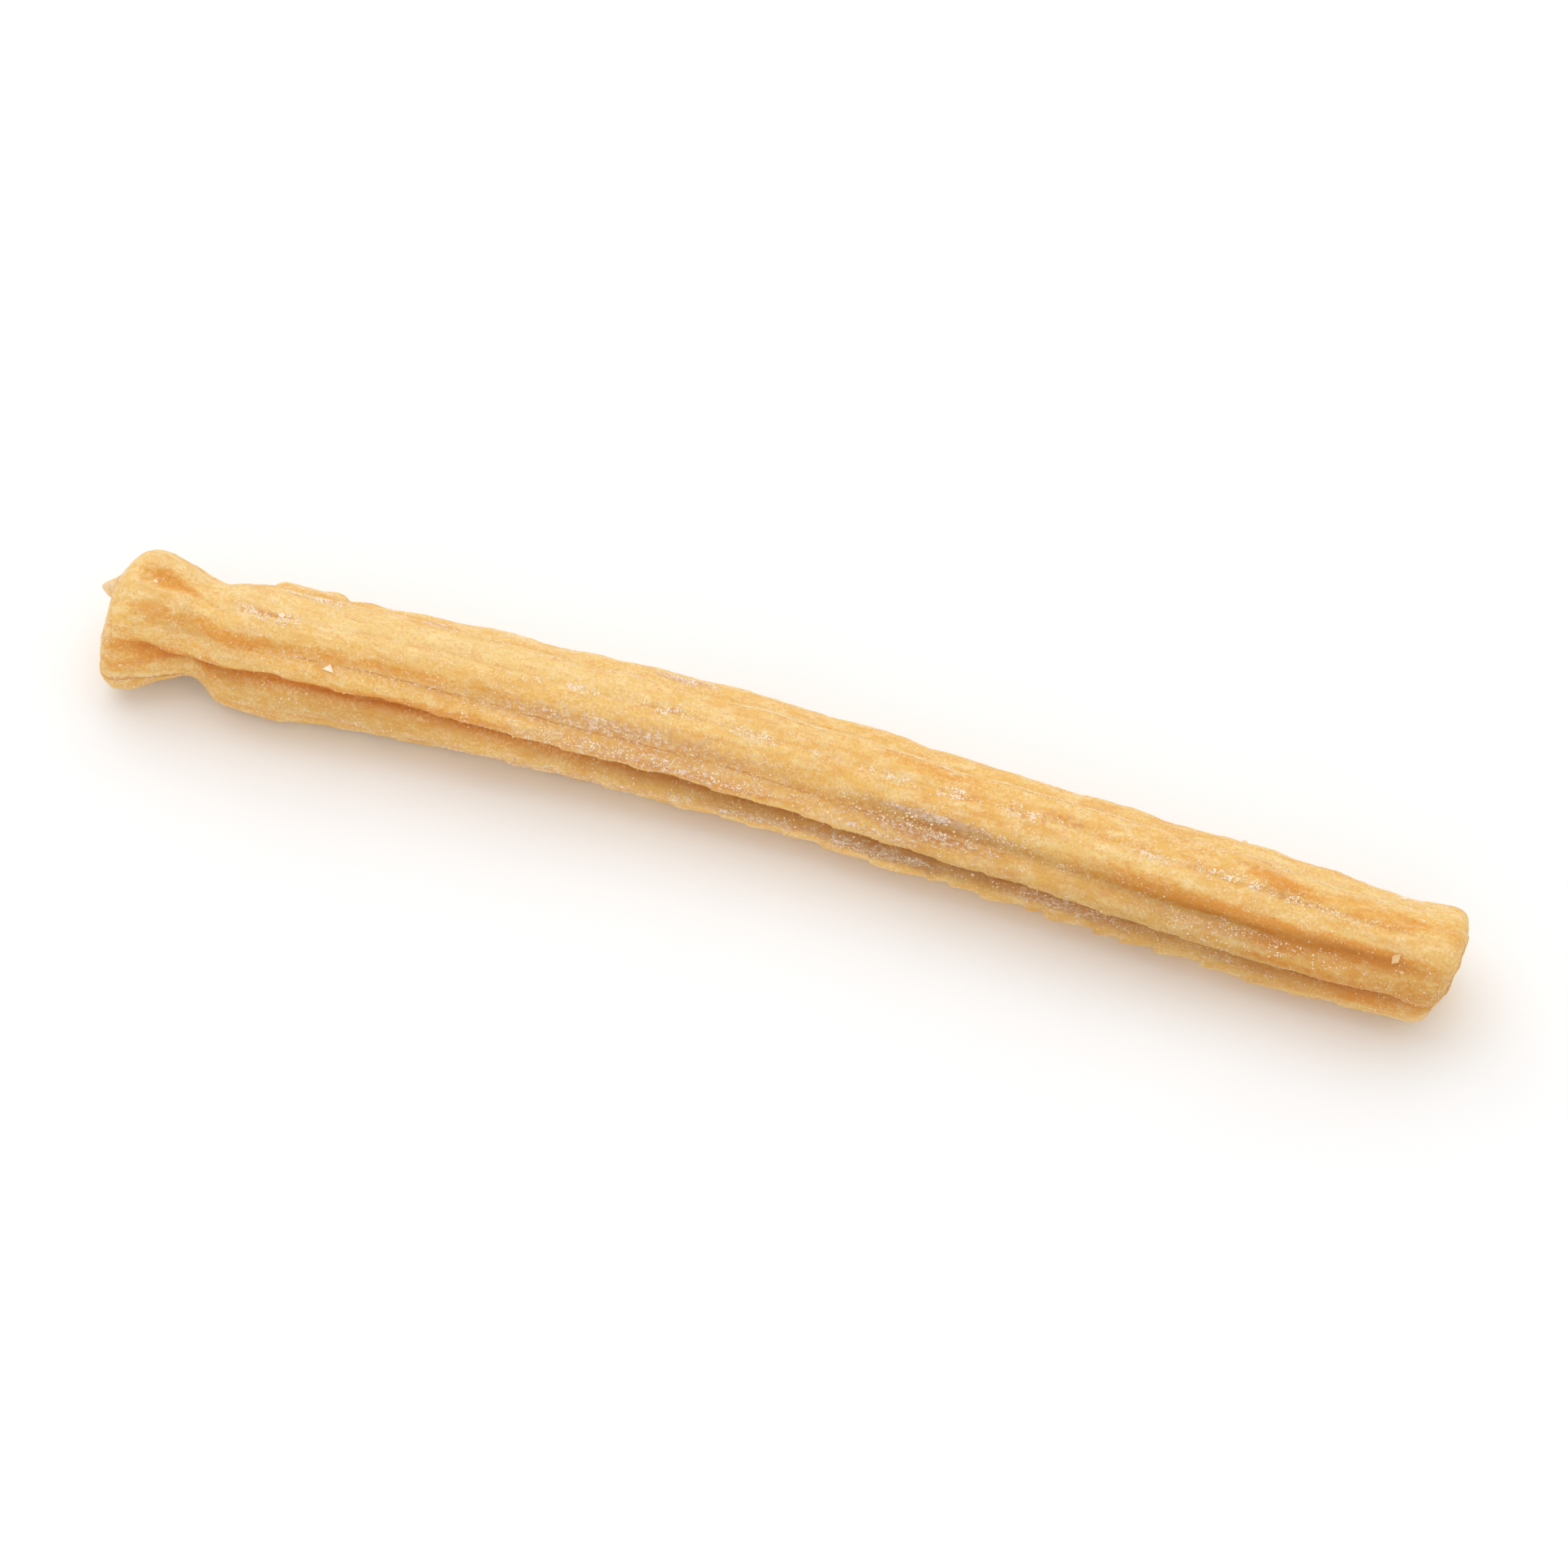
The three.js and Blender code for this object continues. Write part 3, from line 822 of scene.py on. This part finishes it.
elsewhere = add(crust_tree, "ShaderNodeMapping", {"Vector": place, "Location": (0.31, 0.17, 0.05)})
oily_clumps = noise_of(half_drawn, 0.9, detail=5, roughness=0.7)
grain_tops = noise_of(place, 0.5, roughness=0.6)
flaky = clouds(half_drawn, size_mm=3.0, start=0.42, full=0.6, least=0.15, most=1.0, detail=3)
dryness = ranged(carried("oil_and_shade"), 0, 1, 1.0, OILY_DRYNESS)
# Pale grains: partly dry grains, partly painted highlights where light glints on grain tops.
pale_grains_and_glints = reckon("MULTIPLY", ranged(grain_tops, 0.48, 0.64, to_high=0.65),
                     reckon("MULTIPLY", flaky, dryness))
colour = laid_over(colour, [
    (clouds(elsewhere.outputs[0], size_mm=0.6, start=0.5, full=0.66, most=0.45, detail=3), ORANGE),
    (broken_up("oil_and_shade", oily_clumps, most=0.85, full=0.8, spread=0.3), OIL_AND_SHADE_GOLD),
    (pale_grains_and_glints, CREAM),
])
# The oil tint also darkens the hollows and creases as painted shade.
colour = tinted(colour, broken_up("oil_and_shade", oily_clumps, most=1.0, start=0.2, full=0.8, spread=0.2), OIL_AND_SHADE_TINT)
print("grains laid")

# %% [markdown]
# Dust, browned spots, pale dough and frost are carried by the mesh as soft patches, and the darker dust
# on the front is partly painted shade. A pattern of grains is added to the amount before it is cut off,
# so that a patch breaks up into grains and shows no outline of its own: more of them where there is more
# of it. The specks of frost are finer than the browned grains, and gather in clots of a few millimetres.
# The tints of painted shade for the front and for the floors of the creases come last, because they
# deepen all that lies there.

# %% Dust, browned spots, pale dough and frost
grain = noise_of(place, 1.0, detail=4, roughness=0.6)
speckle = noise_of(half_drawn, 0.5, roughness=0.65)
clots = clouds(half_drawn, size_mm=2.2, start=0.44, full=0.58, least=0.3, most=1.0, roughness=0.65)
frosted = reckon("MULTIPLY", broken_up("frost", speckle, most=0.95, start=0.5, full=0.8), clots)
# The darker dust on the front is partly painted shade.
colour = laid_over(colour, [
    (broken_up("shaded_dust", grain, most=0.8, start=0.2, full=0.65, spread=0.2), SHADED_DUST),
    (broken_up("browning", grain, most=0.8), TOASTED),
    (broken_up("pale", grain, most=0.8), PALE_DOUGH),
    (frosted, SUGAR_FROST),
])
# Painted shade: the front and a few places above it are darkened, frost and all.
colour = tinted(colour, carried("painted_shade"), PAINTED_SHADE_TINT)
# Painted shade: the floors of the creases are darkened, each as much as it is deep.
colour = tinted(colour, carried("crease_amber_and_shade"), CREASE_SHADE_TINT)
print("browning, pale dough and frost laid")

# %% [markdown]
# A crack is a thin brown line with a pale lip on its upper side. Under the torn end's wide lip, the
# brown line is partly the soft shadow that the lip's edge casts on the flap below: painted shadow. The
# way to it is shifted a little by noise, which makes the line wander, and a coarser noise lets it come
# and go along the bar.

# %% Cracks with pale lips
CRACK_LIP = 0.6
WANDER = 0.7
GAP_LENGTH = 5.0
GAP_RANGE = (0.44, 0.54)

gaps = noise_of(place, GAP_LENGTH)
wandering = ranged(grain, 0.2, 0.8, -WANDER / 2, WANDER / 2)
for name, crack in CRACKS.items():
    comes_and_goes = ranged(gaps, *GAP_RANGE, crack["least"], 1.0)
    way = reckon("ADD", carried(name), wandering)
    way_to_lip = reckon("ADD", way, (CRACK_LIP + crack["line"]) / 2)
    lip = (way_to_lip, CRACK_LIP, CREAM, crack["lip"])
    slit = (way, crack["line"], CRACK_BROWN_AND_SHADOW, crack["shown"])
    for offset, width, finish, most in (lip, slit):
        line = ranged(reckon("ABSOLUTE", offset), width / 2, width, most, 0.0)
        shown = reckon("MULTIPLY", reckon("MULTIPLY", line, comes_and_goes), carried(name + "_share"))
        colour = blend(shown, colour, finish)
print(len(CRACKS), "cracks drawn")

# %% [markdown]
# The finest grains are too small for the mesh, so a bump gives them: half a millimetre across and a
# few hundredths high. Subsurface scattering lets the light sink about a millimetre into the dough, red
# deeper than blue, which warms the edges of shadows. Starch and oil have an IOR near 1.47, and the oil
# makes the skin satin, where frost leaves it dull.

# %% Finish the crust
BUMP_HEIGHT = 0.08
SCATTER_DEPTH = 1.2
SATIN = 0.52
DULL = 0.8

bump = add(crust_tree, "ShaderNodeBump", {"Strength": 0.8, "Distance": BUMP_HEIGHT * MM,
                                          "Height": reckon("ADD", grain_tops, grain)})
give(crust_shader, {
    "Base Color": colour, "Normal": bump.outputs["Normal"], "Roughness": ranged(frosted, 0, 1, SATIN, DULL),
    "IOR": 1.47, "Specular IOR Level": 0.4, "Subsurface Weight": 0.35,
    "Subsurface Radius": (1.0, 0.45, 0.18), "Subsurface Scale": SCATTER_DEPTH * MM,
})
print("crust material has", len(crust_tree.nodes), "nodes")

# %% [markdown]
# ## Scattering small things on the crust
# Sugar crystals and crumbs lie on the crust as real, tiny solids. All of one kind are one mesh: it is
# far lighter than thousands of objects. A sampler picks places by how likely each face is, which is
# its area times how much of the thing is wanted there. Random draws come from one seeded generator, so
# the churro is the same each time.

# %% A sampler of places on the crust
draw = np.random.default_rng(20)
face_vertices = np.array([tuple(p.vertices) for p in crust.data.polygons if len(p.vertices) == 4])
corners = rough[face_vertices]
face_cross = np.cross(corners[:, 2] - corners[:, 0], corners[:, 3] - corners[:, 1])
face_area = np.linalg.norm(face_cross, axis=1) / 2
face_normal = face_cross / np.linalg.norm(face_cross, axis=1)[:, None]
TABLE_GAP = 0.35
off_table = corners[:, :, 2].mean(axis=1) > TABLE_GAP


def places(count, wanted):
    """Random places and normals on the crust. wanted is how much of a thing each vertex asks for."""
    weight = face_area * wanted[face_vertices].mean(axis=1) * off_table
    chosen = draw.choice(len(weight), count, p=weight / weight.sum())
    u, v = draw.random((2, count, 1))
    quad = corners[chosen]
    spot = (quad[:, 0] * (1 - u) + quad[:, 1] * u) * (1 - v) + (quad[:, 3] * (1 - u) + quad[:, 2] * u) * v
    return spot, face_normal[chosen]


print("crust area:", round(float(face_area.sum()) / 100, 1), "cm2")

# %% [markdown]
# A sugar crystal is a splinter with flat facets. Eight triangles are enough for one: a long octahedron,
# turned any way. Their real size is 0.1 to 0.4 mm. Light goes right through so small a crystal and
# brings the gold of the crust under it along, so they are a warm cream rather than white. They lie in
# clumps, most of them in frost and torn skin.

# %% Sugar crystals
CRYSTALS = 14000
CRYSTAL_LENGTH = (0.13, 0.36)
CRYSTAL_SLIMNESS = (0.252, 0.588)
CRYSTAL_LIFT = 0.2
CLUMP_SIZE = 1.6
CLUMP_MIDDLE = 0.35
CLUMP_CONTRAST = 1.6
SUGAR_ANYWHERE = 0.25
SUGAR_IN_FROST = 1.8
SUGAR_IN_TORN = 2.2
SUGAR_IN_CRACKS = 0.8

OCTAHEDRON = np.array([[1, 0, 0], [-1, 0, 0], [0, 1, 0], [0, -1, 0], [0, 0, 1], [0, 0, -1]], float)
OCTAHEDRON_FACES = np.array([[4, 0, 2], [4, 2, 1], [4, 1, 3], [4, 3, 0],
                             [5, 2, 0], [5, 1, 2], [5, 3, 1], [5, 0, 3]])


def random_turns(count):
    """Random rotation matrices."""
    matrices, _ = np.linalg.qr(draw.normal(size=(count, 3, 3)))
    return matrices * np.sign(np.linalg.det(matrices))[:, None, None]


def flat_turns(up):
    """Random turns about each normal, so that a shape's third side stays along it."""
    along = np.cross(up, draw.normal(size=up.shape))
    along /= np.linalg.norm(along, axis=1)[:, None]
    return np.stack([along, np.cross(up, along), up], axis=2)


def scattered(name, shape, shape_faces, spots, sizes, turns, material):
    """One mesh with a turned and sized copy of a shape at each spot."""
    turned = np.einsum("nij,nkj->nki", turns, shape * sizes)
    vertices = (turned + spots[:, None]).reshape(-1, 3)
    vertices[:, 2] = np.clip(vertices[:, 2], 0, None)
    faces = shape_faces + (np.arange(len(spots)) * shape.shape[-2])[:, None, None]
    piece = new_piece(name, vertices, faces.reshape(-1, 3).tolist(), material)
    piece.data.shade_flat()
    return piece


sugar_material = clouded_material("fine sugar", 3.0, "#f6dfc6", "#ffefdd", Roughness=0.35, IOR=1.54)
clumps = np.clip(CLUMP_MIDDLE + CLUMP_CONTRAST * grains(CLUMP_SIZE, 3, stretch=2.0, shift=71.0), 0, None)
wanted = clumps * (SUGAR_ANYWHERE + SUGAR_IN_FROST * frost + SUGAR_IN_TORN * torn + SUGAR_IN_CRACKS * cracked)
spots, spot_normals = places(CRYSTALS, wanted)
length = draw.uniform(*CRYSTAL_LENGTH, (CRYSTALS, 1, 1))
slim = draw.uniform(*CRYSTAL_SLIMNESS, (CRYSTALS, 1, 2))
sizes = np.concatenate([length, length * slim], axis=2)
sugar = scattered("sugar_crystals", OCTAHEDRON, OCTAHEDRON_FACES,
                  spots + spot_normals * length[:, 0] * CRYSTAL_LIFT,
                  sizes, random_turns(CRYSTALS), sugar_material)
print(len(sugar.data.polygons), "facets of sugar")

# %% [markdown]
# Crumbs are bits of the same skin that tore off and fried on. They are lumps with rough corners that
# lie flat, so a ball of twenty triangles with each corner moved in or out is the right start, pressed
# flat along the crust's normal and sunk in. They lie in heaps where the skin is torn.

# %% Crumbs of dough
CRUMBS = 1900
CRUMB_SIZE = (0.08, 0.25)
CRUMB_BREADTH = (0.6, 1.2)
CRUMB_FLATNESS = (0.35, 0.7)
CRUMB_ROUGHNESS = (0.65, 1.25)
SUNK = 0.05
HEAP_SIZE = 1.1
HEAP_MIDDLE = 0.5
HEAP_CONTRAST = 2
CRUMBS_ANYWHERE = 0.0015
CRUMBS_IN_TORN = 2.0
TORN_FOCUS = 1.5
CRUMBS_IN_FROST = 0.035


def ball():
    """The corners and faces of an icosahedron with a radius of 1."""
    golden = (1 + 5**0.5) / 2
    corners = [(-1, golden, 0), (1, golden, 0), (-1, -golden, 0), (1, -golden, 0),
               (0, -1, golden), (0, 1, golden), (0, -1, -golden), (0, 1, -golden),
               (golden, 0, -1), (golden, 0, 1), (-golden, 0, -1), (-golden, 0, 1)]
    faces = [(0, 11, 5), (0, 5, 1), (0, 1, 7), (0, 7, 10), (0, 10, 11), (1, 5, 9), (5, 11, 4),
             (11, 10, 2), (10, 7, 6), (7, 1, 8), (3, 9, 4), (3, 4, 2), (3, 2, 6), (3, 6, 8),
             (3, 8, 9), (4, 9, 5), (2, 4, 11), (6, 2, 10), (8, 6, 7), (9, 8, 1)]
    return np.array(corners) / math.hypot(1, golden), np.array(faces)


crumb_material = clouded_material("fried crumb", 1.5, "#fbdcb2", "#ffeed8", Roughness=0.7, IOR=1.47)
ball_corners, ball_faces = ball()
heaps = np.clip(HEAP_MIDDLE + HEAP_CONTRAST * grains(HEAP_SIZE, 2, stretch=1.6, shift=51.0), 0, None)
wanted = CRUMBS_ANYWHERE + heaps * (CRUMBS_IN_TORN * torn**TORN_FOCUS + CRUMBS_IN_FROST * frost)
spots, spot_normals = places(CRUMBS, wanted)
size = draw.uniform(*CRUMB_SIZE, (CRUMBS, 1, 1))
breadth = draw.uniform(*CRUMB_BREADTH, (CRUMBS, 1, 2))
sizes = size * np.concatenate([breadth, draw.uniform(*CRUMB_FLATNESS, (CRUMBS, 1, 1))], axis=2)
uneven = ball_corners * draw.uniform(*CRUMB_ROUGHNESS, (CRUMBS, len(ball_corners), 1))
crumbs = scattered("crumbs", uneven, ball_faces, spots - spot_normals * size[:, 0] * SUNK, sizes,
                   flat_turns(spot_normals), crumb_material)
print(len(crumbs.data.polygons), "faces of crumbs")

# %% [markdown]
# A few larger flakes of skin stuck to the churro as it left the oil: one like a small triangle on the
# front, one like a diamond near the cut end, and some splinters. Each is a thin plate with a rough rim,
# pressed a little into the crust where its place says, and laid along the crust's own normal. Its
# corners are turned before it is stretched to its size, and a lean turns it after that. Two of them
# are bare fried skin without a crumb's dry starch, and let the gold through.

# %% Flakes
FLAKES = table(
    "x bearing size corners turned lean thickness clear",
    (-81.1, 41, (1.15, 1.0), 3, 100, 0, 0.5, False),
    (116.7, 37, (1.4, 0.8), 4, 0, -55, 0.55, True),
    (118.4, 49, (0.7, 0.3), 4, 10, 0, 0.2, True),
    (85.0, -44, (0.6, 0.4), 3, 40, 0, 0.9, False),
    (114.9, -33, (0.8, 0.5), 5, 0, 0, 0.3, False),
    (-92.2, 0, (0.7, 0.5), 5, 20, 0, 0.45, False),
    (-116.1, 1, (0.6, 0.45), 4, 70, 0, 0.4, False),
    (-58.0, -62, (0.9, 0.6), 5, 0, 0, 0.35, False),
    (30.0, -80, (0.8, 0.6), 4, 30, 0, 0.35, False),
)
PRESSED_IN = 0.4
FLAKE_LAYERS = ((1.0, -PRESSED_IN), (0.95, 0.35), (0.6, 1.0))
CORNER_UNEVENNESS = 0.12


def turned_by(angle):
    """The matrix that turns rows of two by an angle."""
    return np.array([[np.cos(angle), np.sin(angle)], [-np.sin(angle), np.cos(angle)]])


def flake(spec):
    """A thin plate with a smaller top, on the crust's nearest vertex. Returns its points and faces."""
    away = np.hypot(vertex_x - spec["x"], np.radians(turn(spec["bearing"], vertex_bearing)) * CREST_RADIUS)
    nearest = int(np.argmin(away))
    up = normals[nearest]
    along = np.cross([0, 1, 0], up)
    along /= np.linalg.norm(along)
    beside = np.cross(up, along)
    count = spec["corners"]
    uneven = np.arange(count) + draw.uniform(-CORNER_UNEVENNESS, CORNER_UNEVENNESS, count)
    angle = np.radians(spec["turned"] + 360 / count * uneven)
    rim = np.stack([np.cos(angle), np.sin(angle)], axis=1) * spec["size"]
    rim = rim @ turned_by(np.radians(spec["lean"]))
    points = []
    for reach, height in FLAKE_LAYERS:
        points += [rough[nearest] + along * r[0] * reach + beside * r[1] * reach
                   + up * spec["thickness"] * height for r in rim]
    ring = list(range(count))
    faces = [(k + c, k + (c + 1) % count, k + count + (c + 1) % count, k + count + c)
             for k in (0, count) for c in ring]
    return points, faces + [ring[::-1], [2 * count + c for c in ring]]


clear_skin = clouded_material("clear skin", 0.8, "#e8bb80", "#f0c890", Roughness=0.5, IOR=1.47)

flake_points, flake_faces, face_finish = [], [], []
for spec in FLAKES:
    points_of_one, faces_of_one = flake(spec)
    face_finish += [int(spec["clear"])] * len(faces_of_one)
    flake_faces += [[corner + len(flake_points) for corner in face] for face in faces_of_one]
    flake_points += points_of_one
flakes = new_piece("flakes", flake_points, flake_faces, crumb_material)
flakes.data.materials.append(clear_skin)
flakes.data.polygons.foreach_set("material_index", face_finish)
flakes.data.shade_flat()
print(len(FLAKES), "flakes")

# %% [markdown]
# ## The setting
# The churro lies on a plain pale floor, in soft studio light. A large light above and behind it gives
# the crests their light and leaves the front of the bar in soft shade, and a white world fills in. The
# view is kept plain (Standard), so that the colours come out as they were picked.

# %% Floor
FLOOR_SIZE = 6.0

floor_material = clouded_material("pale board", 60.0, "#f9f9f9", "#fbfbfb", Roughness=0.8)
floor_corners = np.array([[-1, -1, 0], [1, -1, 0], [1, 1, 0], [-1, 1, 0]]) * FLOOR_SIZE / 2 / MM
floor = new_piece("floor", floor_corners, [(0, 1, 2, 3)], floor_material)
print("floor:", FLOOR_SIZE, "m wide")

# %% [markdown]
# A square area light gives soft shadows, the softer the larger it is. The key light is large and high
# behind the bar. The fill light is weaker and in front of it, so that the shaded front stays warm.

# %% Studio light
WORLD_LIGHT = 0.78


def soft_light(name, place_m, size_m, power):
    """A square area light that looks at the middle of the bar."""
    lamp = bpy.data.lights.new(name, "AREA")
    lamp.size = size_m
    lamp.energy = power
    light = bpy.data.objects.new(name, lamp)
    light.location = place_m
    light.rotation_euler = (-Vector(place_m)).to_track_quat("-Z", "Y").to_euler()
    bpy.context.scene.collection.objects.link(light)
    return light


soft_light("key", (-0.35, 0.6, 1.4), size_m=2.2, power=12.2)
soft_light("fill", (0.3, -1.4, 1.2), size_m=1.6, power=2.5)
world = bpy.data.worlds.new("white room")
world.use_nodes = True
give(world.node_tree.nodes["Background"], {"Color": (1, 1, 1, 1), "Strength": WORLD_LIGHT})
bpy.context.scene.world = world
bpy.context.scene.view_settings.view_transform = "Standard"
print("two lights and a white world")

# %% [markdown]
# The camera looks down at 55 degrees, from a little to the right of straight ahead, so the bar slants
# down to the right. A long lens from far away keeps the bar's two ends the same size.

# %% Camera
ELEVATION = math.radians(55)
AZIMUTH = math.radians(18.4)
DISTANCE = 4.0
FRAME_WIDTH = 0.279
AIM = Vector((0.0, 0.0, 10.8)) * MM

camera_data = bpy.data.cameras.new("camera")
camera = bpy.data.objects.new("camera", camera_data)
bpy.context.scene.collection.objects.link(camera)
looking = Vector((-math.sin(AZIMUTH) * math.cos(ELEVATION), math.cos(AZIMUTH) * math.cos(ELEVATION),
                  -math.sin(ELEVATION)))
camera.location = AIM - looking * DISTANCE
camera.rotation_euler = looking.to_track_quat("-Z", "Y").to_euler()
camera_data.lens = camera_data.sensor_width * DISTANCE / FRAME_WIDTH
camera_data.clip_end = 10
bpy.context.scene.camera = camera
print("lens:", round(camera_data.lens), "mm")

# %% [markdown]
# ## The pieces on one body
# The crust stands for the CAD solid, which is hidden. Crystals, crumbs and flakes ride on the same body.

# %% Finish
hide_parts("churro")
for piece in (crust, sugar, crumbs, flakes):
    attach(piece, "root")
